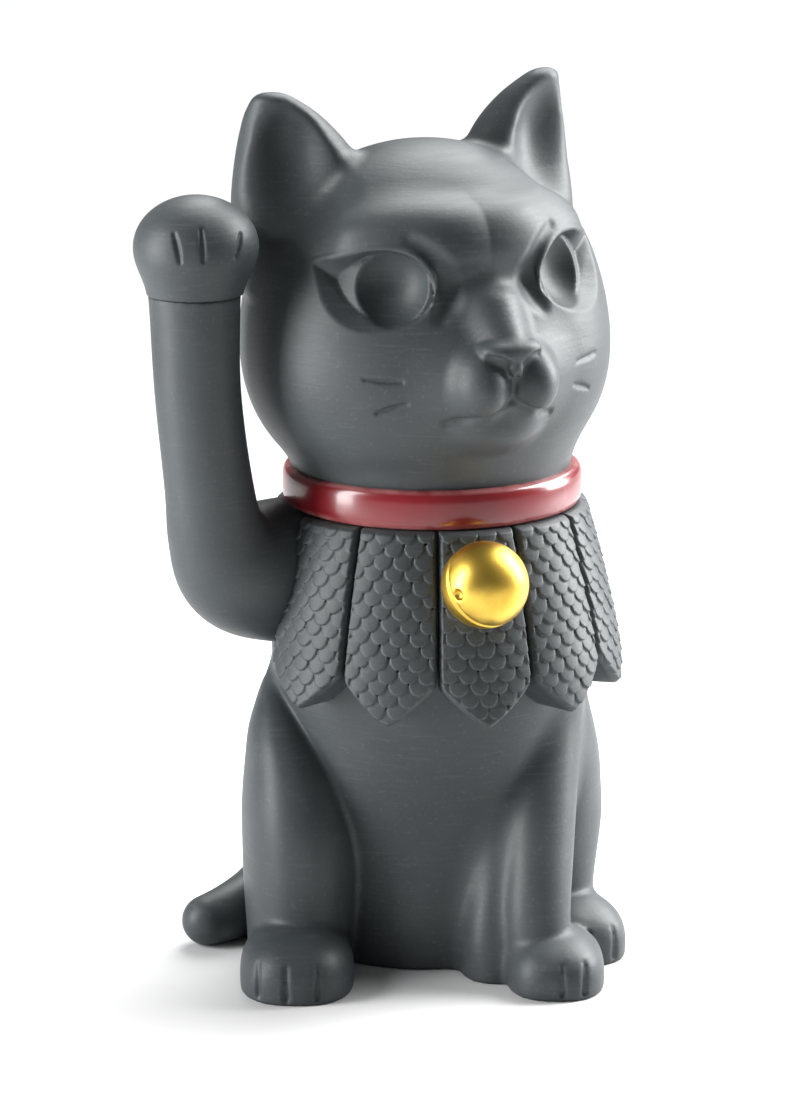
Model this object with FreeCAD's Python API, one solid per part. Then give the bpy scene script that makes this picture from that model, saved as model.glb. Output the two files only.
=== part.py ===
"""Beckoning cat figurine: a seated porcelain cat with one raised forepaw, made from hollow slip castings.

Frame: millimetres, +Z up, the cat faces -Y, its left side is +X. The origin is on the resting face, on the torso's axis.
Each casting is luted to its neighbour before firing, so neighbours meet face to face and nothing moves.
"""

import FreeCAD, Part
import math
import os

from FreeCAD import Matrix, Placement, Rotation, Vector

# Driving dimensions of the whole figure
WALL = 4.0              # wall of a slip casting
NECK_R = 37.0           # neck, under the collar
NECK_JOINT_Z = 127.0    # where the head casting is luted to the body casting
SPIGOT_DEPTH = 4.0      # how far the head's spigot reaches into the body's neck
SPIGOT_WALL = 2.5

# Torso: stations of height, half width, half depth and the centre's place along Y
TORSO = [
    (0.0, 38.0, 39.3, 8.0),
    (18.0, 40.3, 40.0, 7.0),
    (40.0, 42.2, 39.8, 5.0),
    (68.0, 43.0, 41.2, 1.8),
    (92.0, 44.5, 42.5, -0.5),
    (110.0, 42.5, 41.0, -1.0),
    (NECK_JOINT_Z, NECK_R, NECK_R, -1.0),
]

# Right haunch: level sections as height, half width, half depth and centre, all turned together
LEG_TURN = -15.0                                # the right hind leg and left forepaw point this far off the front
RIGHT_HAUNCH = [
    (0.0, 15.0, 27.5, -36.2, -14.0),
    (12.0, 15.8, 29.0, -35.8, -13.8),
    (30.0, 17.0, 30.0, -35.6, -13.0),
    (45.0, 15.8, 28.5, -36.8, -12.5),
    (56.0, 13.2, 24.6, -38.6, -11.4),
    (66.0, 8.8, 18.0, -41.5, -10.0),
    (72.0, 5.2, 11.5, -43.0, -8.0),
    (75.0, 2.0, 4.0, -43.8, -6.5),
]
LEFT_HAUNCH = [
    ((30.5, 5, 45), (18.5, 33, 37)),
    ((31.5, -10, 24), (13.5, 16, 26)),
]
FORELEG = [((27, -6, 98), 13.0), ((25.9, -19.4, 66), 11.4), ((21.2, -35.4, 38), 9.8), ((18.2, -45, 8), 9.4)]
FLANK = [((14.5, -29, 42), 7.0), ((10.5, -33, 26), 8.0), ((9.0, -36, 4), 9.4)]
# Feet: centre, radii and turn
RIGHT_HIND_FOOT = ((-46.4, -31.0, 4.0), (16.0, 20.3, 13.0), LEG_TURN)
LEFT_HIND_FOOT = ((34.5, -21.5, 4.2), (14.6, 19.0, 12.4), 6.0)
FOREPAW = ((22.2, -48.5, 3.6), (13.8, 17.7, 12.0), LEG_TURN)
VENT_R = 3.5                                    # kiln vent through the floor of the body
VENT_AT = (0.0, 24.0)

# Raised right arm, shoulder to wrist, then its paw
ARM = [
    ((-28, 3, 105.5), 20.6),
    ((-45, 0.6, 108), 18.6),
    ((-56.5, -6, 112), 16.6),
    ((-62.8, -9.8, 122), 13.6),
    ((-65.9, -12.4, 139), 12.0),
    ((-68.9, -14.7, 163), 11.6),
    ((-69.7, -15.6, 187), 12.2),
    ((-69.7, -15.8, 200), 13.0),
]
ARM_VENT_R = 5.0                                # passage that joins the arm's hollow to the body's
ARM_VENT_LENGTH = 30.0
WRIST_Z = 190.0
PAW = ((-69.3, -16.5, 203.2), (16.6, 16.2, 13.2))

# Tail, root to tip
TAIL = [
    ((3, 43, 16), 12.6),
    ((-18, 40, 14), 12.0),
    ((-35.4, 30.2, 11.7), 11.0),
    ((-46.7, 18.7, 10.3), 10.0),
    ((-55.6, 10.8, 9.0), 8.8),
    ((-63, 7.6, 7.6), 7.3),
]

# Head, in its own frame: origin at the middle of the skull
SKULL_CENTRE = (-2.4, -0.5, 177.5)
HEAD_YAW = 8.8                                  # turned to the cat's left
HEAD_ROLL = 1.8
CRANIUM = ((0, 0, 2), (50, 47, 47.5))
JAW = ((0, -2, -14), (46.8, 44.5, 33.5))
SKULL_HOLLOW = ((0, 3, 2), (44, 38, 42))
BROW = ((18, -31.2, 28.0), (15, 7, 7), 27.0)    # centre, radii and turn
SNOUT = ((0, -40, -8), (18.5, 17.6, 14.2))
MUZZLE = ((7.2, -47.4, -8.2), (8.6, 13.4, 10.4))
NOSE_BRIDGE = [((0, -34, 20), 9.5), ((0, -42, 11), 8.4), ((0, -48, 5.2), 7.4), ((0, -54.0, 1.0), 6.0)]
NOSE_TIP = ((0, -54.8, 0.9), (8.7, 6.5, 4.0))
CHIN = ((0, -43.5, -20.5), (12.5, 10, 7.5))
# Ear: level sections as height, half width, half depth and centre, turned outwards about a point
EAR_TURN = 22.0
EAR_AXIS = (37.0, 5.5, 40.0)
EAR = [
    (14.0, 19.6, 15.4, 31.8, 9.3),
    (36.0, 18.0, 13.5, 33.5, 10.0),
    (46.0, 16.2, 11.8, 34.2, 9.5),
    (54.0, 12.6, 9.2, 36.2, 8.5),
    (60.0, 8.4, 6.2, 38.3, 6.5),
    (63.6, 4.6, 3.6, 39.8, 4.8),
    (65.0, 2.2, 1.8, 40.3, 4.4),
]
EAR_CUP = ((35.8, -7.5, 48.0), (12.0, 13.2, 16.3))
EAR_CUP_LEAN = 9.0
EYE_Z = 16.8
# Eye hollows: distance out from the head's axis, turn from the front, and radii
EYE_SOCKET = (45.8, 41.0, (16.5, 3.6, 10.4))
EYE_BOWL = (49.2, 34.8, (11.2, 11.2, 10.9))

# Collar, a glazed band that hides the neck joint
COLLAR_R = 41.2
COLLAR_HEIGHT = 10.8
COLLAR_EDGE = 1.8                               # radius of the band's outer edges

# Bib of pointed panels round the shoulders; the raised arm takes the place of one
PANELS_ROUND = 12
PANEL_OF_ARM = 9                                # counted from the front towards the cat's left
PANEL_TURN = 1.5                                # turn of the front panel to the cat's left, in degrees
PANEL_GROOVE = 0.8                              # gap between neighbouring panels
BIB_TOP = (NECK_JOINT_Z, 41.6)                  # height and outer radius under the collar
BIB_MIDDLE = (100.0, 49.4)
BIB_FOOT = (70.0, 53.4)
PANEL_TIP_Z = 75.0                              # of the front panel
PANEL_TIP_RISE = 4.5                            # how much higher the points are at the sides
PANEL_POINT = 12.0                              # height of a panel's pointed end
BIB_INNER_R = 30.0

# Bell against the bib, under the collar
BELL_R = 11.7
BELL_CENTRE = (0.0, -54.0, 115.0)
BELL_HOLE_R = 1.5
BELL_SLOT_W = 1.0
BELL_SLOT_DEPTH = 0.8
BELL_SLOT_NORMAL = (0.321, -0.813, 0.482)
BELL_HOLE_DIRECTION = (-0.811, -0.583, -0.052)

BIG = 400.0
LOFT_DEGREE = 3
ROUNDING = (30, 55, 72, 83)                     # where a rounded end's sections stand, in degrees


def ellipsoid(centre, radii, turn=0.0, grow=0.0):
    """An ellipsoid, turned about the vertical; grow moves its surface out (or in, if negative)."""
    matrix = Matrix()
    matrix.scale(*(r + grow for r in radii))
    matrix.rotateZ(math.radians(turn))
    matrix.move(Vector(*centre))
    return Part.makeSphere(1.0).transformGeometry(matrix).Solids[0]


def loft(wires):
    """A smooth solid through closed section wires."""
    return Part.makeLoft(wires, True, False, False, LOFT_DEGREE).Solids[0]


def ellipse_wire(centre, half_x, half_y):
    """A level ellipse; half_x and half_y may be in either order of size."""
    if half_x >= half_y:
        curve = Part.Ellipse(Vector(*centre), half_x, half_y)
    else:
        curve = Part.Ellipse(Vector(0, 0, 0), half_y, half_x)
        curve.rotate(Placement(Vector(0, 0, 0), Rotation(Vector(0, 0, 1), 90)))
        curve.translate(Vector(*centre))
    edge = curve.toShape()
    return Part.Wire([edge])


def limb(stations, grow=0.0, rounded=False):
    """A tapering, curving limb through circles that stand square to its path, with a rounded far end if asked."""
    points = [Vector(*p) for p, _ in stations]
    radii = [radius + grow for _, radius in stations]
    way = points[-1].sub(points[-2]).normalize()
    wires = []
    for i, (point, radius) in enumerate(zip(points, radii)):
        before, after = points[max(i - 1, 0)], points[min(i + 1, len(points) - 1)]
        wires.append(Part.Wire([Part.makeCircle(radius, point, after.sub(before))]))
    for degrees in ROUNDING if rounded else ():
        angle = math.radians(degrees)
        point = points[-1].add(way * (radii[-1] * math.sin(angle)))
        wires.append(Part.Wire([Part.makeCircle(radii[-1] * math.cos(angle), point, way)]))
    return loft(wires)


def fused(shapes):
    """One solid from shapes that each overlap what comes before them."""
    whole = shapes[0]
    for shape in shapes[1:]:
        whole = whole.fuse(shape)
        if len(whole.Solids) != 1 or not whole.isValid():
            raise RuntimeError("a shape does not join what comes before it")
    return whole.Solids[0]


def below(z):
    """Everything under a height."""
    return Part.makeBox(BIG, BIG, BIG, Vector(-BIG / 2, -BIG / 2, z - BIG))


def above(z):
    """Everything over a height."""
    return Part.makeBox(BIG, BIG, BIG, Vector(-BIG / 2, -BIG / 2, z))


def torso(grow=0.0):
    """The torso's column, level at both ends."""
    return loft([ellipse_wire((0, y, z), rx + grow, ry + grow) for z, rx, ry, y in TORSO])


def right_haunch():
    """The right haunch and shank, down to the floor."""
    leg = loft([ellipse_wire((x, y, z), rx, ry) for z, rx, ry, x, y in RIGHT_HAUNCH])
    leg.rotate(Vector(0, 0, 0), Vector(0, 0, 1), LEG_TURN)
    return leg


def body_solid():
    """The torso with its haunches, feet and left foreleg, down to a level under the floor."""
    shapes = [torso(), right_haunch()]
    shapes += [ellipsoid(centre, radii) for centre, radii in LEFT_HAUNCH]
    shapes += [limb(FLANK), limb(FORELEG)]
    shapes += [ellipsoid(*foot) for foot in (RIGHT_HIND_FOOT, LEFT_HIND_FOOT, FOREPAW)]
    return fused(shapes)


def body_outside():
    """The body with its hollow filled, for trimming what is luted to it."""
    return body_solid().cut(below(0)).Solids[0]


def body_casting(outside):
    """The hollow torso, with an open neck, a floor with a vent, and a passage into the raised arm."""
    centre, radii = LEFT_HAUNCH[0]
    hollow = fused([torso(-WALL), right_haunch_hollow(), ellipsoid(centre, radii, grow=-WALL)]).cut(below(WALL))
    neck = Part.makeCylinder(NECK_R - WALL, 2 * WALL, Vector(0, TORSO[-1][3], NECK_JOINT_Z - WALL))
    vent = Part.makeCylinder(VENT_R, 3 * WALL, Vector(*VENT_AT, -WALL))
    return outside.cut(hollow).cut(neck).cut(vent).cut(arm_passage())


def right_haunch_hollow():
    """The inside of the right haunch, which stops short of its narrow top."""
    sections = [section for section in RIGHT_HAUNCH if section[1] > 2 * WALL]
    hollow = loft([ellipse_wire((x, y, z - WALL), rx - WALL, ry - WALL) for z, rx, ry, x, y in sections])
    hollow.rotate(Vector(0, 0, 0), Vector(0, 0, 1), LEG_TURN)
    return hollow


def arm_passage():
    """The round passage from the arm's hollow into the body's."""
    start, end = Vector(*ARM[0][0]), Vector(*ARM[1][0])
    way = start.sub(end).normalize()
    return Part.makeCylinder(ARM_VENT_R, ARM_VENT_LENGTH, end.sub(way * ARM_VENT_R), way)


def arm_outside(body):
    """The raised arm up to its wrist, with its hollow filled."""
    return limb(ARM).cut(above(WRIST_Z)).cut(body).Solids[0]


def arm_casting(outside):
    """The raised arm, hollow and closed at the shoulder but for the passage."""
    return outside.cut(limb(ARM[1:], -WALL)).cut(arm_passage())


def in_head_frame(shape):
    """Places a shape made in the head's own frame."""
    turned = shape.copy()
    turned.rotate(Vector(0, 0, 0), Vector(0, 1, 0), -HEAD_ROLL)
    turned.rotate(Vector(0, 0, 0), Vector(0, 0, 1), HEAD_YAW)
    turned.translate(Vector(*SKULL_CENTRE))
    return turned


def on_side(shape, side):
    """A shape made for the left side of the head, or its mirror image for the right."""
    return shape if side > 0 else shape.mirror(Vector(0, 0, 0), Vector(1, 0, 0))


def ear():
    """The left ear, a leaning cone of elliptical sections with a rounded tip."""
    cone = loft([ellipse_wire((x, y, z), rx, ry) for z, rx, ry, x, y in EAR])
    cone.rotate(Vector(*EAR_AXIS), Vector(0, 0, 1), EAR_TURN)
    return cone


def ear_cup():
    """The hollow in the front of the left ear."""
    centre, radii = EAR_CUP
    cup = ellipsoid(centre, radii)
    cup.rotate(Vector(*centre), Vector(0, 1, 0), EAR_CUP_LEAN)
    cup.rotate(Vector(*EAR_AXIS), Vector(0, 0, 1), EAR_TURN)
    return cup


def eye_hollow(out, turn, radii):
    """A hollow of the left eye: the almond socket or the deeper bowl of the iris."""
    hollow = ellipsoid((0, -out, EYE_Z), radii)
    hollow.rotate(Vector(0, 0, 0), Vector(0, 0, 1), turn)
    return hollow


def face():
    """The skull with its ears, snout and eyes, in the head's own frame."""
    shapes = [ellipsoid(*CRANIUM), ellipsoid(*JAW), ellipsoid(*SNOUT)]
    shapes += [limb(NOSE_BRIDGE), ellipsoid(*NOSE_TIP), ellipsoid(*CHIN)]
    hollows = []
    for side in (-1, 1):
        shapes += [on_side(shape, side) for shape in (ear(), ellipsoid(*BROW), ellipsoid(*MUZZLE))]
        scoops = (ear_cup(), eye_hollow(*EYE_SOCKET), eye_hollow(*EYE_BOWL))
        hollows += [on_side(scoop, side) for scoop in scoops]
    solid = fused(shapes)
    for hollow in hollows:
        solid = solid.cut(hollow)
    return solid


def head_casting():
    """The hollow head on its neck, with a spigot that sits in the body's neck."""
    y0 = TORSO[-1][3]
    neck_height = SKULL_CENTRE[2] - 20 - NECK_JOINT_Z
    neck = Part.makeCylinder(NECK_R, neck_height, Vector(0, y0, NECK_JOINT_Z))
    spigot_z = NECK_JOINT_Z - SPIGOT_DEPTH
    spigot = Part.makeCylinder(NECK_R - WALL, SPIGOT_DEPTH, Vector(0, y0, spigot_z))
    outside = fused([in_head_frame(face()), neck, spigot])
    hollow = in_head_frame(fused([ellipsoid(*SKULL_HOLLOW), ellipsoid(*JAW, grow=-WALL - 1)]))
    bore_r = NECK_R - WALL - SPIGOT_WALL
    bore = Part.makeCylinder(bore_r, neck_height + SPIGOT_DEPTH, Vector(0, y0, spigot_z))
    return outside.cut(hollow).cut(bore)


def paw_casting():
    """The raised paw, a hollow bulb that carries on the arm's own section from the wrist."""
    outside = fused([limb(ARM), ellipsoid(*PAW)])
    hollow = fused([limb(ARM, -WALL), ellipsoid(*PAW, grow=-WALL)])
    return outside.cut(hollow).cut(below(WRIST_Z))


def tail_casting(body):
    """The tail, lying round the right haunch."""
    return limb(TAIL, rounded=True).cut(body)


def neck_collar(head):
    """The glazed band round the neck, standing on the bib's top edge."""
    foot = Vector(0, TORSO[-1][3], NECK_JOINT_Z)
    band = Part.makeCylinder(COLLAR_R, COLLAR_HEIGHT, foot)
    rims = [e for e in band.Edges if e.Curve.TypeId == "Part::GeomCircle"]
    band = band.makeFillet(COLLAR_EDGE, rims)
    core = Part.makeCylinder(NECK_R, COLLAR_HEIGHT, foot)
    return band.cut(core).cut(head)


def bib_cone():
    """The outer form of the whole bib, a flared skirt."""
    (z0, r0), (z1, r1), (z2, r2) = BIB_TOP, BIB_MIDDLE, BIB_FOOT
    arc = Part.Arc(Vector(r0, 0, z0), Vector(r1, 0, z1), Vector(r2, 0, z2)).toShape()
    foot = Part.makeLine(Vector(r2, 0, z2), Vector(BIB_INNER_R, 0, z2))
    inner = Part.makeLine(Vector(BIB_INNER_R, 0, z2), Vector(BIB_INNER_R, 0, z0))
    top = Part.makeLine(Vector(BIB_INNER_R, 0, z0), Vector(r0, 0, z0))
    skirt = Part.Face(Part.Wire([arc, foot, inner, top])).revolve(Vector(0, 0, 0), Vector(0, 0, 1), 360)
    skirt.translate(Vector(0, TORSO[-1][3], 0))
    return skirt


def panel_outline(index):
    """The pointed outline of one panel, driven outwards from the axis between the grooves on its two sides."""
    half = math.pi / PANELS_ROUND
    facing = index * 360.0 / PANELS_ROUND + PANEL_TURN
    tip_z = PANEL_TIP_Z + PANEL_TIP_RISE * min(1.0 - math.cos(math.radians(facing)), 1.0)
    y0 = TORSO[-1][3]
    reach = BIB_FOOT[1] + 10
    apex = PANEL_GROOVE / 2 / math.sin(half)
    wide = (reach - apex) * math.tan(half)
    sector = Part.makePolygon([
        Vector(0, y0 - apex, tip_z),
        Vector(wide, y0 - reach, tip_z),
        Vector(-wide, y0 - reach, tip_z),
        Vector(0, y0 - apex, tip_z),
    ])
    wedge = Part.Face(sector).extrude(Vector(0, 0, BIB_TOP[0] - tip_z))
    notch = BIB_FOOT[1] * math.tan(half)
    front = Part.makePolygon([
        Vector(0, y0, tip_z),
        Vector(notch, y0, tip_z + PANEL_POINT),
        Vector(notch, y0, BIB_TOP[0]),
        Vector(-notch, y0, BIB_TOP[0]),
        Vector(-notch, y0, tip_z + PANEL_POINT),
        Vector(0, y0, tip_z),
    ])
    pointed = wedge.common(Part.Face(front).extrude(Vector(0, -reach, 0)))
    pointed.rotate(Vector(0, y0, 0), Vector(0, 0, 1), facing)
    return pointed


def bib_panels(body, arm):
    """The panels round the shoulders, numbered by their place from the front towards the cat's left."""
    skirt = bib_cone()
    panels = {}
    for index in range(PANELS_ROUND):
        if index == PANEL_OF_ARM:
            continue
        panel = skirt.common(panel_outline(index)).cut(body).cut(arm)
        panels[f"bib_panel_{index:02d}"] = max(panel.Solids, key=lambda solid: solid.Volume)
    return panels


def bell(panels):
    """The bell, with the dimple and slot of a round jingle bell pressed into its skin."""
    centre = Vector(*BELL_CENTRE)
    ball = Part.makeSphere(BELL_R, centre)
    normal = Vector(*BELL_SLOT_NORMAL)
    ring = Part.makeCylinder(BELL_R + 1, BELL_SLOT_W, centre.sub(normal * (BELL_SLOT_W / 2)), normal)
    ring = ring.cut(Part.makeSphere(BELL_R - BELL_SLOT_DEPTH, centre))
    hole_at = centre.add(Vector(*BELL_HOLE_DIRECTION).normalize() * BELL_R)
    ball = ball.cut(ring).cut(Part.makeSphere(BELL_HOLE_R, hole_at))
    for panel in panels.values():
        ball = ball.cut(panel)
    return max(ball.Solids, key=lambda s: s.Volume)


def figurine():
    """Every piece by its name."""
    body = body_outside()
    arm = arm_outside(body)
    head = head_casting()
    panels = bib_panels(body, arm)
    return {
        "body_casting": body_casting(body),
        "head_casting": head,
        "raised_arm": arm_casting(arm),
        "raised_paw": paw_casting(),
        "tail": tail_casting(body),
        "neck_collar": neck_collar(head),
        "bell": bell(panels),
        **panels,
    }


os.makedirs("parts", exist_ok=True)
for name, shape in figurine().items():
    solid = max(shape.Solids, key=lambda part: part.Volume)
    solid.exportStep(f"parts/{name}.step")
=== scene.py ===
"""Looks of the beckoning cat figurine: matte blue-grey porcelain, a red glazed collar and a gold lustre bell.

The cat is modelled as solid fields, in millimetres in the part's own frame. A field is a function that is
negative inside a piece and positive outside it. It is turned into a mesh, and each vertex is then moved onto
the surface.
"""

import math
from concurrent.futures import ThreadPoolExecutor

import bpy
import numpy as np
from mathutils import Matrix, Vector


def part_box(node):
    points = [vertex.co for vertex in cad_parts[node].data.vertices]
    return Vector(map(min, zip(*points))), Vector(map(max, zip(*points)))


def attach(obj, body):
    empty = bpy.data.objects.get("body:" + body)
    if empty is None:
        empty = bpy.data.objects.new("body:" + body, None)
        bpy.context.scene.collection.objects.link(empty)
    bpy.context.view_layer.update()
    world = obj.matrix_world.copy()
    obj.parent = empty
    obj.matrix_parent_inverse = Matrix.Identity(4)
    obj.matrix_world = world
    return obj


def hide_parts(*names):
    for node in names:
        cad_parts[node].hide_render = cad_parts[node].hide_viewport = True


MM = 0.001
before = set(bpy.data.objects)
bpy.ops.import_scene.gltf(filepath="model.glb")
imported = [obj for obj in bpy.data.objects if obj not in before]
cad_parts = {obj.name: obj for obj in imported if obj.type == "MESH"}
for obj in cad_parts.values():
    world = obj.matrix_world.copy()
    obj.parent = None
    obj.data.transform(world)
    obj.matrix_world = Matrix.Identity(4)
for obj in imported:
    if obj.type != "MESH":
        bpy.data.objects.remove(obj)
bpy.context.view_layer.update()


def cad_box(node):
    """A CAD node's lowest and highest corners, in millimetres."""
    low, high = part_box(node)
    return np.array(low, float) / MM, np.array(high, float) / MM


# ---------------------------------------------------------------- sizes
collar_low, collar_high = cad_box("neck_collar")
bell_low, bell_high = cad_box("bell")

NECK_JOINT_Z = collar_low[2]
COLLAR_TOP_Z = collar_high[2]
COLLAR_R = (collar_high[0] - collar_low[0]) / 2
NECK_Y = (collar_low[1] + collar_high[1]) / 2
WRIST_Z = cad_box("raised_arm")[1][2]
BELL_CENTRE = np.array([(bell_low[0] + bell_high[0]) / 2, bell_low[1] + (bell_high[0] - bell_low[0]) / 2,
                        (bell_low[2] + bell_high[2]) / 2])
BELL_R = (bell_high[0] - bell_low[0]) / 2

SKULL_CENTRE = (-2.4, -0.5, 177.5)
HEAD_YAW = 8.8                  # degrees, to the cat's left
HEAD_ROLL = 1.8
CRANIUM_R = (50, 47, 47.5)

CULL = 10.0                     # mm beyond which a small detail no longer shapes a surface
FAR = 99.0


# ---------------------------------------------------------------- fields
def smin(a, b, k):
    """The union of two fields, blended over a distance k."""
    h = np.maximum(k - np.abs(a - b), 0.0) / k
    return np.minimum(a, b) - h * h * k * 0.25


def smax(a, b, k):
    """The part that two fields share, its edge rounded over a distance k."""
    return -smin(-a, -b, k)


def ball(p, c, r):
    """An ellipsoid with radii r round c."""
    q = p - np.array(c, np.float32)
    r = np.array(r, np.float32)
    k0 = np.sqrt(((q / r) ** 2).sum(-1))
    k1 = np.sqrt(((q / (r * r)) ** 2).sum(-1))
    return k0 * (k0 - 1.0) / np.maximum(k1, 1e-6)


def turned(p, c, axis, degrees):
    """The points as seen by a shape that is turned about c."""
    q = p - np.array(c, np.float32)
    s, c_ = math.sin(math.radians(degrees)), math.cos(math.radians(degrees))
    x, y, z = q[..., 0], q[..., 1], q[..., 2]
    if axis == "y":
        out = np.stack([c_ * x - s * z, y, s * x + c_ * z], -1)
    else:
        out = np.stack([c_ * x + s * y, -s * x + c_ * y, z], -1)
    return out + np.array(c, np.float32)


def pillow(p, c, r, degrees=0.0, power=2.5):
    """A box-like ellipsoid, turned about the vertical."""
    q = np.abs(turned(p, c, "z", degrees) - np.array(c, np.float32)) / np.array(r, np.float32)
    rho = np.maximum((q ** power).sum(-1), 1e-9) ** (1 / power)
    slope = np.sqrt(((q ** (power - 1) / np.array(r, np.float32)) ** 2).sum(-1)) / rho ** (power - 1)
    return (rho - 1.0) / np.maximum(slope, 1e-4)


def cone(p, a, b, ra, rb):
    """A round-ended cone from a to b."""
    a = np.array(a, np.float32)
    ab = np.array(b, np.float32) - a
    t = np.clip(((p - a) @ ab) / float(ab @ ab), 0, 1)
    q = p - a - t[..., None] * ab
    return np.sqrt((q * q).sum(-1)) - (ra + (rb - ra) * t)


def tube(p, stations, k=0.0):
    """A tube through (point, radius) stations."""
    points = np.array([s[0] for s in stations])
    reach = max(s[1] for s in stations) + CULL
    if (p.min(0) > points.max(0) + reach).any() or (p.max(0) < points.min(0) - reach).any():
        return np.full(len(p), FAR, np.float32)
    d = None
    for (a, ra), (b, rb) in zip(stations, stations[1:]):
        part = cone(p, a, b, ra, rb)
        if d is None:
            d = part
        else:
            d = smin(d, part, k) if k else np.minimum(d, part)
    return d


def smooth_path(stations, count):
    """A curve through (point, radius) stations, as more stations."""
    a = np.array([[*point, radius] for point, radius in stations], float)
    t = np.linspace(0, len(a) - 1, count)
    i = np.clip(t.astype(int), 0, len(a) - 2)
    f = (t - i)[:, None]
    p0, p1 = a[np.maximum(i - 1, 0)], a[i]
    p2, p3 = a[i + 1], a[np.minimum(i + 2, len(a) - 1)]
    square = (2 * p0 - 5 * p1 + 4 * p2 - p3) * f ** 2
    v = 2 * p1 + (p2 - p0) * f + square + (3 * p1 - p0 - 3 * p2 + p3) * f ** 3
    return [(tuple(row[:3] / 2), float(row[3] / 2)) for row in v]


def between(z, heights, values):
    """A smooth curve through values given at a few heights."""
    h, v = np.array(heights, float), np.array(values, float)
    m = np.gradient(v, h)
    i = np.clip(np.searchsorted(h, z) - 1, 0, len(h) - 2)
    step = h[i + 1] - h[i]
    t = np.clip((z - h[i]) / step, 0, 1)
    t2, t3 = t * t, t * t * t
    start = (2 * t3 - 3 * t2 + 1) * v[i] + (t3 - 2 * t2 + t) * step * m[i]
    return start + (3 * t2 - 2 * t3) * v[i + 1] + (t3 - t2) * step * m[i + 1]


def column(p, sections, power=2.0):
    """A solid of level elliptical sections, each (height, half width, half depth, x, y)."""
    z = p[..., 2]
    heights, half_x, half_y, centre_x, centre_y = zip(*sorted(sections))
    rx, ry = between(z, heights, half_x), between(z, heights, half_y)
    x = np.abs(p[..., 0] - between(z, heights, centre_x)) / rx
    y = np.abs(p[..., 1] - between(z, heights, centre_y)) / ry
    rho = np.maximum(x ** power + y ** power, 1e-9) ** (1 / power)
    slope = np.sqrt((x / rx) ** 2 + (y / ry) ** 2) / rho
    return ((rho - 1) / np.maximum(slope, 1e-3)).astype(np.float32)


def mirrored(p):
    """Both sides of the head at once, as its left side."""
    q = p.copy()
    q[..., 0] = np.abs(q[..., 0])
    return q


# ---------------------------------------------------------------- body
TORSO = [
    (-6, 37, 39, 0, 8),
    (12, 39.5, 40, 0, 7.5),
    (36, 42, 39.5, 0, 5.5),
    (66, 43, 41, 0, 2),
    (92, 44.5, 42.5, 0, -0.5),
    (110, 42.5, 41, 0, -1),
    (NECK_JOINT_Z, 37, 37, 0, NECK_Y),
    (150, 34, 34, 0, NECK_Y),
]
VIEW_TURN = -15.0                # the hind legs' sections lie square to this direction
RIGHT_HAUNCH = [
    (77, 1.5, 3, -44, -6),
    (72.5, 5, 11, -43, -8),
    (66, 8.8, 18, -41.5, -10),
    (55, 13.4, 25, -38.4, -11.5),
    (45, 15.8, 28.5, -36.8, -12.5),
    (33, 17, 30, -35.6, -13),
    (20, 16.6, 29.5, -35.6, -13.5),
    (8, 15.4, 28.5, -36, -14),
    (-6, 14.5, 27, -36.4, -14),
]
FORELEG = [((27, -6, 98), 13), ((25.9, -19.4, 66), 11.4), ((21.2, -35.4, 38), 9.8), ((18.2, -44, 20), 9.2),
           ((18.2, -46, 6), 9.4)]
FLANK = [((14.5, -30, 44), 6), ((10.5, -34, 28), 7), ((8.6, -37, 12), 8.4), ((8.6, -38, 0), 9.5)]
RIGHT_FOOT = ((-46.4, -31.0, 3.4), (15.6, 20.0, 13.2), -15)
LEFT_FOOT = ((34.5, -21.5, 3.6), (14.2, 18.5, 12.6), 6)
FOREPAW = ((22.2, -48.5, 3.0), (13.4, 17.3, 12.0), -15)
TAIL = [((3, 42, 16), 12.6), ((-18, 40, 13), 11.6), ((-35.4, 30.2, 10.3), 10.1), ((-46.7, 18.7, 8.8), 8.8),
        ((-55.6, 10.8, 8.0), 8.0), ((-63, 7.6, 7.1), 7.1)]
ARM = [((-28, 3, 109), 20.6), ((-45, 0.6, 109), 19.6), ((-56.5, -6, 112), 16.6), ((-62.8, -9.8, 122), 13.5),
       ((-65.7, -12.4, 137), 12), ((-68.9, -14.7, 163), 11.6), ((-69.7, -15.6, 187), 12.2),
       ((-69.7, -15.8, 196), 13)]
PAW = ((-69.3, -16.5, 203.2), (16.6, 16.2, 13.2))


def toe_lines(foot, places, top, radius=0.95):
    """Grooves down the front of a foot, at places across it from -1 to 1."""
    centre, radii, degrees = foot
    lines = []
    for place in places:
        points = []
        for lift in (0.0, 0.25, 0.5, 0.75, 1.0):
            height = 2.0 + (top - 2.0) * lift
            level = min(abs(height - centre[2]) / radii[2], 0.98)
            across = place * radii[0]
            reach = (1 - level ** 2.5) ** 0.4
            forward = radii[1] * max(1 - (abs(place) / max(reach, 0.2)) ** 2.5, 0.02) ** 0.4 * reach
            a = math.radians(degrees)
            x = centre[0] + across * math.cos(a) + forward * math.sin(a)
            y = centre[1] + across * math.sin(a) - forward * math.cos(a)
            points.append(((x, y, height), radius * (1.0 - 0.5 * lift)))
        lines.append(smooth_path(points, 10))
    return lines


TOES = [
    *toe_lines(RIGHT_FOOT, (-0.66, -0.16, 0.38), 10.5),
    *toe_lines(FOREPAW, (0.1, 0.56), 10.0),
    *toe_lines(LEFT_FOOT, (-0.1, 0.45), 10.0),
]


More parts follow.
